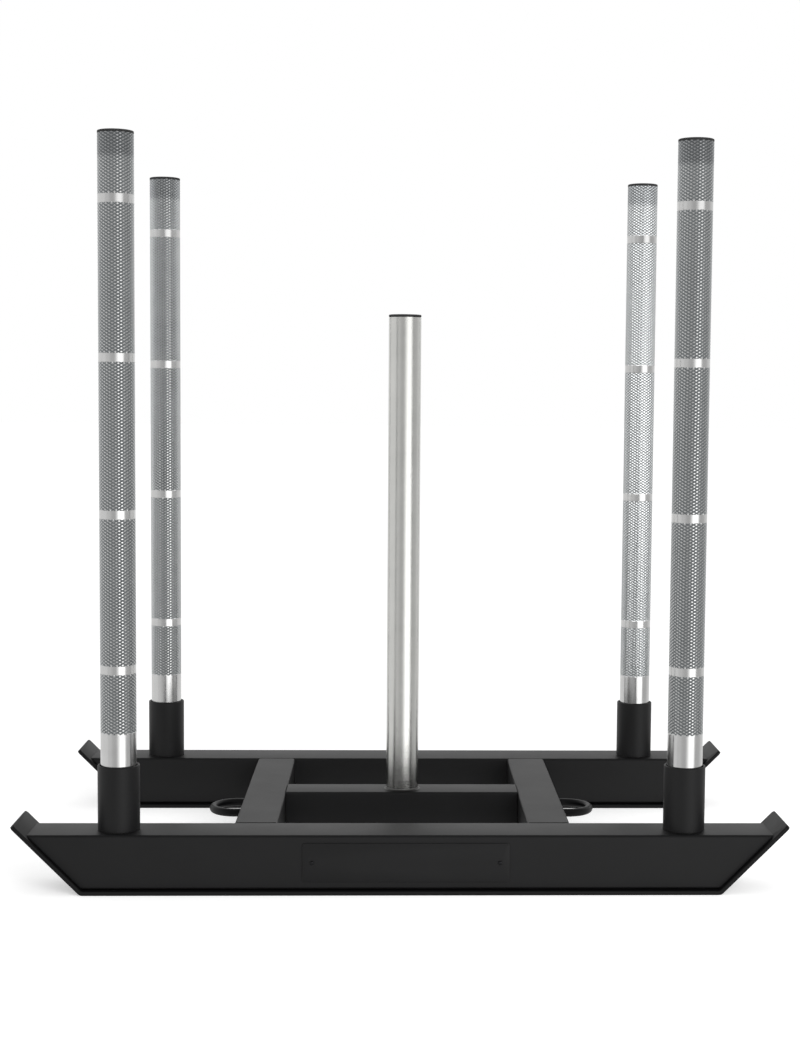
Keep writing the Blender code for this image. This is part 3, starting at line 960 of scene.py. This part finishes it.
class SLED_OT_push_poles(bpy.types.Operator):
    """Build the four knurled push poles"""

    bl_idname = "sled.push_poles"
    bl_label = "Push Poles"

    def execute(self, context):
        pole = context.scene.sled_pole
        size = node_size("front_right_pole")
        row_height = pole.band_pitch / pole.band_rows
        band_low = pole.first_band - pole.band_width / 2
        first_row = band_low - math.ceil(band_low / row_height) * row_height
        inputs = {label: getattr(pole, label.lower().replace(" ", "_")) for label in KNURL_SIZES}
        inputs["Columns"] = pole.columns
        inputs["Rows"] = math.ceil((size.z - first_row) / row_height) + 1
        inputs["Row Height"] = row_height
        inputs["First Row"] = first_row
        inputs["Length"] = size.z
        inputs["Radius"] = size.x / 2
        inputs["Bore Radius"] = size.x / 2 - pole.wall
        inputs["Material"] = material_for("pole_steel")
        start = add_object("pole_start", bpy.data.meshes.new("pole_start"))
        whole_pole = grown_mesh(start, knurled_tube, inputs)
        for corner in CORNERS:
            node = corner + "_pole"
            body = corner + "_push_pole"
            show(corner + "_knurled_pole", whole_pole.copy(), [node], "pole_steel", body, node_foot(node))
        return {"FINISHED"}


class SLED_OT_caps(bpy.types.Operator):
    """Build the plastic caps of the four poles and of the plate post"""

    bl_idname = "sled.caps"
    bl_label = "Caps"

    def execute(self, context):
        cap = context.scene.sled_cap
        pole = context.scene.sled_pole
        post = context.scene.sled_post
        holders = [(corner + "_pole_cap", corner + "_push_pole", pole) for corner in CORNERS]
        for node, body, holder in (*holders, ("plate_post_cap", ROOT, post)):
            size = node_size(node)
            mesh = end_cap(cap, size, holder.wall, post.steps)
            underside = node_foot(node) + Vector((0.0, 0.0, size.z - cap.flange))
            show(node + "_moulding", mesh, [node], "cap_plastic", body, underside)
        return {"FINISHED"}


class SLED_OT_plate_post(bpy.types.Operator):
    """Build the plate post with the weld fillet round its foot"""

    bl_idname = "sled.plate_post"
    bl_label = "Plate Post"

    def execute(self, context):
        post = context.scene.sled_post
        fillet = post.fillet
        size = node_size("plate_post")
        outside = size.x / 2 - fillet
        bore = outside - post.wall
        profile = [(bore, 0.0)]
        profile += arc((outside + fillet, fillet), fillet, 270, 180, post.fillet_steps)
        profile += [(outside, size.z - post.chamfer), (outside - post.chamfer, size.z), (bore, size.z)]
        mesh = turned(profile, post.steps, wrap=True)
        show("plate_post_tube", mesh, ["plate_post"], "post_steel", place=node_foot("plate_post"))
        return {"FINISHED"}


class SLED_OT_tow_rings(bpy.types.Operator):
    """Build the two tow rings from a bar along a U-shaped path"""

    bl_idname = "sled.tow_rings"
    bl_label = "Tow Rings"

    def execute(self, context):
        ring = context.scene.sled_ring
        for end in ENDS:
            node = end + "_tow_ring"
            low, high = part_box(node)
            size = high - low
            bar = size.z
            bend = (size.y - bar) / 2
            leg = size.x - bend - bar / 2
            line = [(0.0, -bend), *arc((leg, 0.0), bend, -90, 90, ring.bend_steps), (0.0, bend)]
            path = bpy.data.curves.new(node + "_path", "CURVE")
            path.dimensions = "3D"
            spline = path.splines.new("POLY")
            spline.points.add(len(line) - 1)
            for point, (x, y) in zip(spline.points, line):
                point.co = (x, y, 0.0, 1.0)
            inputs = {"Bar Radius": bar / 2, "Sides": ring.sides, "Material": material_for("ring_coat")}
            mesh = grown_mesh(add_object(node + "_path", path), swept_bar, inputs)
            root = low
            if end == "rear":
                mesh.transform(Matrix.Rotation(math.pi, 4, "Z"))
                root = high
            show(node + "_bar", mesh, [node], "ring_coat", place=(root.x, 0.0, node_centre(node).z))
        return {"FINISHED"}


class SLED_OT_name_plate(bpy.types.Operator):
    """Build the bare name plate with its rounded corners and two screw holes"""

    bl_idname = "sled.name_plate"
    bl_label = "Name Plate"

    def execute(self, context):
        plate = context.scene.sled_plate
        size = node_size("name_plate")
        centre = node_centre("name_plate")
        half = size.y / 2
        edge = plate.edge
        middle = edge * EDGE_MIDDLE
        rings = []
        for inset, rise in ((0.0, -half), (0.0, half - edge), (middle, half - middle), (edge, half)):
            width = size.x - 2 * inset
            height = size.z - 2 * inset
            outline = rounded_rectangle(width, height, plate.corner - inset, plate.corner_steps)
            rings.append(raised(outline, rise))
        mesh = lofted(rings, closed_ends=True)
        mesh.transform(Matrix.Translation(centre) @ FACE_RIGHT)
        sheet = add_object("sheet", mesh)
        holes = []
        for end in ENDS:
            screw = node_centre(end + "_plate_screw")
            through = [(plate.hole / 2, -size.y), (plate.hole / 2, size.y)]
            bore = turned(through, plate.steps, closed_ends=True)
            bore.transform(Matrix.Translation((screw.x, centre.y, screw.z)) @ FACE_RIGHT)
            holes.append(add_object(end + "_hole", bore))
            drill = sheet.modifiers.new(end + "_hole", "BOOLEAN")
            drill.operation = "DIFFERENCE"
            drill.solver = "EXACT"
            drill.object = holes[-1]
        drilled = plain_mesh(sheet)
        for hole in holes:
            bpy.data.objects.remove(hole)
        show("name_plate_sheet", drilled, ["name_plate"], "name_plate")
        return {"FINISHED"}


class SLED_OT_plate_screws(bpy.types.Operator):
    """Build the two button screws of the name plate"""

    bl_idname = "sled.plate_screws"
    bl_label = "Plate Screws"

    def execute(self, context):
        plate = context.scene.sled_plate
        nodes = [end + "_plate_screw" for end in ENDS]
        size = node_size(nodes[0])
        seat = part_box(nodes[0])[0].y + plate.head_height
        first, last = [(node_centre(node).x, seat, node_centre(node).z) for node in nodes]
        pattern = add_object("screw_pattern", button_screw(plate, size.x, size.y))
        start = add_object("screw_start", bpy.data.meshes.new("screw_start"))
        inputs = {"Screw": pattern, "Count": len(nodes), "First": first, "Last": last}
        mesh = grown_mesh(start, screw_row, {**inputs, "Material": material_for("screw_steel")})
        bpy.data.objects.remove(pattern)
        show("name_plate_screws", mesh, nodes, "screw_steel")
        return {"FINISHED"}


SENSOR_WIDTH = 36.0
WHITE = (1.0, 1.0, 1.0, 1.0)
# The studio as the metal mirrors it. Each ramp gives degrees from the camera's side towards the
# sled's front, and the level there: white backdrop behind and beside, and a dim room in front.
STUDIO_ROUND = (
    (-180, 1.0), (-150, 0.9), (-66, 0.88), (-60, 0.75), (-38, 0.74), (-30, 0.62), (-3, 0.54), (57, 0.58),
    (96, 0.63), (106, 0.78), (150, 0.9), (180, 1.0),
)
# The tall softbox at the front right, as shares of its level: soft at the left, sharp at the right.
SOFTBOX_ROUND = ((-6, 0.0), (6, 0.3), (18, 0.9), (27, 1.0), (44, 1.0), (52, 0.6), (57, 0.0))
# Heights of a direction and the softbox's share of its level there, from its foot to its faded top.
SOFTBOX_RISE = ((-0.33, 0.0), (-0.19, 1.0), (-0.05, 1.0), (0.12, 0.4), (0.3, 0.1))
# Heights of a direction between which the walls darken to the ceiling's level, and how much higher
# that lies behind the sled. It rises while the direction's own part along Y grows as given.
CEILING_RISE = (0.15, 0.7)
BACK_LIFT = 0.35
BACK_START = (-0.2, 0.4)
# Heights of a direction between which the walls turn into the floor.
FLOOR_FALL = (-0.25, -0.6)
# Size, place and target of each lamp, and the corners whose poles alone it lights. The lamp
# with no corners lights every piece.
LAMPS = {
    "key": ((1.6, 2.0), (1.25, -2.9, 1.3), (0.0, 0.0, 0.5), ()),
    "top": ((2.6, 1.1), (0.7, -0.65, 2.2), (0.7, -0.649, 0.0), ("front_left",)),
    "back": ((8.0, 0.8), (0.43, 0.4, 1.9), (0.43, 0.27, 0.6), ("front_left", "rear_left")),
}


def add_camera(stage):
    lens = bpy.data.cameras.new("camera")
    lens.lens = stage.lens
    lens.sensor_width = SENSOR_WIDTH
    lens.shift_x = stage.shift_x
    lens.shift_y = stage.shift_y
    camera = add_object("camera", lens)
    yaw = Matrix.Rotation(-stage.camera_yaw, 4, "Z")
    pitch = Matrix.Rotation(math.pi / 2 - stage.camera_pitch, 4, "X")
    roll = Matrix.Rotation(stage.camera_roll, 4, "Z")
    camera.matrix_world = Matrix.Translation(stage.camera_place) @ yaw @ pitch @ roll
    bpy.context.scene.camera = camera


def add_floor(stage):
    """Pale floor that the picture shows white, apart from the sled's shadow."""
    bm = bmesh.new()
    bmesh.ops.create_grid(bm, x_segments=1, y_segments=1, size=stage.floor_half)
    floor = add_object("floor", finished(bm))
    shader = new_shader("pale_floor")
    shader.inputs["Base Color"].default_value = (*stage.floor_colour, 1.0)
    shader.inputs["Roughness"].default_value = stage.floor_roughness
    shader.inputs["Specular IOR Level"].default_value = 0.0
    shader.inputs["Emission Color"].default_value = WHITE
    path = add(shader.id_data, "ShaderNodeLightPath")
    seen = calc("MAXIMUM", path["Is Camera Ray"], mirrored_share(path))
    feed(shader, "Emission Strength", seen * stage.floor_glow)
    floor.data.materials.append(bpy.data.materials["pale_floor"])
    floor.visible_glossy = False


def add_world(stage):
    """White for the camera, the studio's panels for mirrored rays, and plain soft light for the rest."""
    world = bpy.data.worlds.new("studio")
    world.use_nodes = True
    bpy.context.scene.world = world
    tree = world.node_tree
    tree.nodes.clear()
    path = add(tree, "ShaderNodeLightPath")
    lit = mix(mirrored_share(path), stage.studio_level, mirrored_level(tree, stage))
    shown = mix(path["Is Camera Ray"], lit, 1.0)
    light = add(tree, "ShaderNodeBackground", {"Color": WHITE, "Strength": shown})
    add(tree, "ShaderNodeOutputWorld", {"Surface": light[0]})


def mirrored_share(path):
    """One for the rays that metal mirrors and that glass lets through."""
    return calc("MAXIMUM", path["Is Glossy Ray"], path["Is Transmission Ray"])


def mirrored_level(tree, stage):
    """Level of the studio in each direction, as the metal mirrors it."""
    direction = add(tree, "ShaderNodeTexCoord")["Generated"]
    x, y, z = add(tree, "ShaderNodeSeparateXYZ", {0: direction})
    turn = calc("ARCTAN2", x, y * -1.0) * math.degrees(1.0)
    steepness = z - remap(y, *BACK_START) * BACK_LIFT
    dimmed = remap(steepness, *CEILING_RISE, 1.0, stage.ceiling_level, "SMOOTHSTEP")
    walls = ramp(turn, 360, STUDIO_ROUND) * dimmed
    around = mix(remap(z, *FLOOR_FALL, interpolation="SMOOTHSTEP"), walls, stage.ground_level)
    softbox = ramp(turn, 360, SOFTBOX_ROUND) * ramp(z, 2, SOFTBOX_RISE)
    return softbox * stage.softbox_level + around


def ramp(value, span, stops):
    """Level at a value of a span round zero, straight from stop to stop."""
    made = add(value.tree, "ShaderNodeValToRGB", {"Fac": value / span + 0.5})
    elements = made.node.color_ramp.elements
    elements.remove(elements[1])
    for place, tone in stops[1:]:
        elements.new(place / span + 0.5)
    for element, (place, tone) in zip(elements, stops):
        element.position = place / span + 0.5
        element.color = (tone, tone, tone, 1.0)
    return made["Color"]


def add_lamps(stage):
    """A lamp for all pieces, which metal doesn't mirror, and lamps that light only some poles."""
    for name, (size, place, target, corners) in LAMPS.items():
        data = bpy.data.lights.new(name + "_lamp", "AREA")
        data.shape = "RECTANGLE"
        data.size, data.size_y = size
        data.energy = getattr(stage, name + "_power")
        lamp = add_object(name + "_lamp", data)
        lamp.location = place
        lamp.rotation_mode = "QUATERNION"
        lamp.rotation_quaternion = (Vector(target) - lamp.location).to_track_quat("-Z", "Y")
        lamp.visible_camera = False
        if not corners:
            lamp.visible_glossy = False
            continue
        lit = bpy.data.collections.new("lit_by_" + lamp.name)
        for corner in corners:
            lit.objects.link(bpy.data.objects[corner + "_knurled_pole"])
        lamp.light_linking.receiver_collection = lit


class SLED_OT_stage(bpy.types.Operator):
    """Set up the pale floor, the soft studio light and the camera"""

    bl_idname = "sled.stage"
    bl_label = "Stage"

    def execute(self, context):
        for build in (add_camera, add_floor, add_world, add_lamps):
            build(context.scene.sled_stage)
        context.scene.view_settings.view_transform = "Standard"
        return {"FINISHED"}


BUILDERS = (
    SLED_OT_runners, SLED_OT_skids, SLED_OT_cross_frame, SLED_OT_sockets, SLED_OT_push_poles, SLED_OT_caps,
    SLED_OT_plate_post, SLED_OT_tow_rings, SLED_OT_name_plate, SLED_OT_plate_screws, SLED_OT_stage,
)


class SLED_PT_panel(bpy.types.Panel):
    """Sizes, finishes and builders of the weight sled"""

    bl_idname = "SLED_PT_panel"
    bl_label = "Weight Sled"
    bl_space_type = "VIEW_3D"
    bl_region_type = "UI"
    bl_category = "Sled"

    def draw(self, context):
        for builder in BUILDERS:
            self.layout.operator(builder.bl_idname)
        for name, group in SETTINGS.items():
            box = self.layout.box()
            box.label(text=group.__doc__)
            settings = getattr(context.scene, name)
            for item in group.__annotations__:
                box.prop(settings, item)


def register():
    for name, group in SETTINGS.items():
        bpy.utils.register_class(group)
        setattr(bpy.types.Scene, name, bpy.props.PointerProperty(type=group))
    for item in (*BUILDERS, SLED_PT_panel):
        bpy.utils.register_class(item)


def unregister():
    for item in reversed((*BUILDERS, SLED_PT_panel)):
        bpy.utils.unregister_class(item)
    for name, group in SETTINGS.items():
        delattr(bpy.types.Scene, name)
        bpy.utils.unregister_class(group)


def main():
    register()
    for builder in BUILDERS:
        area, name = builder.bl_idname.split(".")
        getattr(getattr(bpy.ops, area), name)()


if __name__ == "__main__":
    main()
